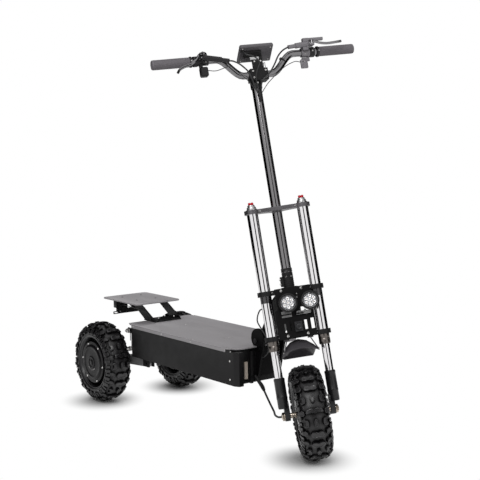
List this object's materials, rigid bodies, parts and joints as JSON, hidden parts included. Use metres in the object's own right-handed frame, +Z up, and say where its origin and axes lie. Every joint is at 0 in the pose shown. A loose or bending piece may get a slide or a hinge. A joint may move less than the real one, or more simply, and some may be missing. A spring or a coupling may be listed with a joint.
{
  "type": "three-wheel electric scooter",
  "caption": "Stand-on electric scooter with a long box deck, two rear wheels on a sprung frame, a raised seat plate, and a tall folding stem on a double-crown fork.",
  "frame": {"origin": "on the ground, at the middle of the overall box", "axes": "+Z up, -Y the way the scooter drives, +X the rider's left hand; the front wheel and bar are turned"},
  "size_m": [0.6166, 1.2251, 1.2561],
  "materials": {
    "painted_black": "satin",
    "plate_grey": "satin",
    "crown_grey": "satin",
    "smoked_chrome": "polished",
    "steel": "brushed",
    "aluminium": "satin",
    "red_metal": "anodised",
    "tyre": "matt",
    "grip_rubber": "matt",
    "cable": "satin",
    "black_plastic": "matt",
    "cream_plastic": "matt",
    "pack_blue": "matt",
    "lens": "clear",
    "red_lens": "gloss",
    "axle_bronze": "worn",
    "cast_black": "cast"
  },
  "bodies": {
    "chassis": {"deck_tray": "painted_black", "deck_plate": "plate_grey", "charge_port": "cream_plastic", "battery_pack": "pack_blue", "motor_controller": "aluminium", "neck_bracket": "painted_black", "fold_pin": "steel", "seat_bracket": "painted_black", "seat_plate": "plate_grey", "tail_bracket": "painted_black", "tail_light": "red_lens", "motor_lead": "cable", "neck_loom": "cable"},
    "folding_head": {"neck_head": "painted_black"},
    "steering": {"low_crown": "painted_black", "mid_crown": "painted_black", "top_crown": "crown_grey", "stem_clamp": "painted_black", "stem_tube": "smoked_chrome", "right_fork_tube": "smoked_chrome", "left_fork_tube": "smoked_chrome", "light_plate": "painted_black", "right_headlight": "cast_black", "left_headlight": "cast_black", "right_headlight_lens": "lens", "left_headlight_lens": "lens", "horn": "steel", "fender": "black_plastic", "bar_clamp": "painted_black", "handlebar": "painted_black", "right_grip": "grip_rubber", "left_grip": "grip_rubber", "display": "black_plastic", "right_brake_body": "cast_black", "left_brake_body": "cast_black", "throttle_body": "black_plastic", "switch_pod": "black_plastic", "bell": "cast_black", "control_loom": "cable"},
    "right_adjuster": {"right_fork_adjuster": "red_metal"},
    "left_adjuster": {"left_fork_adjuster": "red_metal"},
    "fork_slider": {"right_fork_leg": "cast_black", "left_fork_leg": "cast_black", "front_axle": "axle_bronze"},
    "front_wheel": {"front_tyre": "tyre", "front_hub": "cast_black"},
    "rear_swing": {"swing_frame": "aluminium", "rear_axle": "steel"},
    "right_wheel": {"right_tyre": "tyre", "right_hub": "cast_black"},
    "left_wheel": {"left_tyre": "tyre", "left_hub": "cast_black"},
    "right_strut_top": {"right_strut_body": "cast_black"},
    "left_strut_top": {"left_strut_body": "cast_black"},
    "right_strut_foot": {"right_strut_rod": "steel"},
    "left_strut_foot": {"left_strut_rod": "steel"},
    "right_lever": {"right_brake_lever": "cast_black"},
    "left_lever": {"left_brake_lever": "cast_black"},
    "throttle": {"throttle_paddle": "black_plastic"},
    "button": {"horn_button": "red_lens"}
  },
  "joints": [
    {"name": "stem_fold", "type": "hinge", "parent": "chassis", "child": "folding_head", "pos_m": [-0.0041, -0.26472, 0.3254], "axis": [1, 0, 0], "range_deg": [-65, 0], "deforming": ["neck_loom", "motor_lead"]},
    {"name": "steering", "type": "hinge", "parent": "folding_head", "child": "steering", "pos_m": [-0.0041, -0.39036, 0.42932], "axis": [0, 0.2617, 0.9652], "range_deg": [-6, 74], "deforming": ["neck_loom", "motor_lead"]},
    {"name": "fork_travel", "type": "slide", "parent": "steering", "child": "fork_slider", "axis": [0, 0.2617, 0.9652], "range_m": [0, 0.04], "stiffness_N_per_m": 15000, "deforming": ["motor_lead"]},
    {"name": "front_wheel_spin", "type": "hinge", "parent": "fork_slider", "child": "front_wheel", "pos_m": [-0.01192, -0.48007, 0.14281], "axis": [0.8295, -0.539, 0.1461], "continuous": true},
    {"name": "rear_swing_travel", "type": "hinge", "parent": "chassis", "child": "rear_swing", "pos_m": [-0.0041, 0.25962, 0.16352], "axis": [1, 0, 0], "range_deg": [0, 3], "stiffness_Nm_per_rad": 2500},
    {"name": "right_wheel_spin", "type": "hinge", "parent": "rear_swing", "child": "right_wheel", "pos_m": [-0.1696, 0.47014, 0.1425], "axis": [1, 0, 0], "continuous": true},
    {"name": "left_wheel_spin", "type": "hinge", "parent": "rear_swing", "child": "left_wheel", "pos_m": [0.1614, 0.47014, 0.1425], "axis": [1, 0, 0], "continuous": true},
    {"name": "right_strut_pivot", "type": "hinge", "parent": "chassis", "child": "right_strut_top", "pos_m": [-0.1321, 0.3275, 0.27278], "axis": [1, 0, 0], "range_deg": [-5, 0.5]},
    {"name": "right_strut_foot_pivot", "type": "hinge", "parent": "rear_swing", "child": "right_strut_foot", "pos_m": [-0.1321, 0.32583, 0.2088], "axis": [1, 0, 0], "range_deg": [-10, 0.5]},
    {"name": "left_strut_pivot", "type": "hinge", "parent": "chassis", "child": "left_strut_top", "pos_m": [0.1239, 0.3275, 0.27278], "axis": [1, 0, 0], "range_deg": [-5, 0.5]},
    {"name": "left_strut_foot_pivot", "type": "hinge", "parent": "rear_swing", "child": "left_strut_foot", "pos_m": [0.1239, 0.32583, 0.2088], "axis": [1, 0, 0], "range_deg": [-10, 0.5]},
    {"name": "right_fork_adjuster_turn", "type": "hinge", "parent": "steering", "child": "right_adjuster", "pos_m": [-0.08029, -0.27953, 0.74844], "axis": [0, 0.2617, 0.9652], "range_deg": [-135, 135]},
    {"name": "left_fork_adjuster_turn", "type": "hinge", "parent": "steering", "child": "left_adjuster", "pos_m": [0.04629, -0.36179, 0.77074], "axis": [0, 0.2617, 0.9652], "range_deg": [-135, 135]},
    {"name": "right_brake_lever_pull", "type": "hinge", "parent": "steering", "child": "right_lever", "pos_m": [-0.17944, -0.16654, 1.18975], "axis": [0, 0.2617, 0.9652], "range_deg": [-16, 0], "stiffness_Nm_per_rad": 0.6, "springref_deg": 5.73},
    {"name": "left_brake_lever_pull", "type": "hinge", "parent": "steering", "child": "left_lever", "pos_m": [0.15253, -0.28374, 1.2381], "axis": [0, 0.2617, 0.9652], "range_deg": [0, 13], "stiffness_Nm_per_rad": 0.6, "springref_deg": -5.73},
    {"name": "throttle_press", "type": "hinge", "parent": "steering", "child": "throttle", "pos_m": [0.00001, -0.19424, 1.19208], "axis": [0.9351, -0.3419, 0.0927], "range_deg": [-28, 0], "stiffness_Nm_per_rad": 0.05, "springref_deg": 5.73},
    {"name": "horn_button_press", "type": "slide", "parent": "steering", "child": "button", "axis": [-0.3543, -0.9025, 0.2447], "range_m": [0, 0.002], "stiffness_N_per_m": 400, "springref_m": -0.001}
  ],
  "couplings": [
    {"joint": "right_strut_pivot", "follows": "rear_swing_travel", "ratio": -0.775},
    {"joint": "right_strut_foot_pivot", "follows": "rear_swing_travel", "ratio": -1.775},
    {"joint": "left_strut_pivot", "follows": "rear_swing_travel", "ratio": -0.775},
    {"joint": "left_strut_foot_pivot", "follows": "rear_swing_travel", "ratio": -1.775}
  ]
}
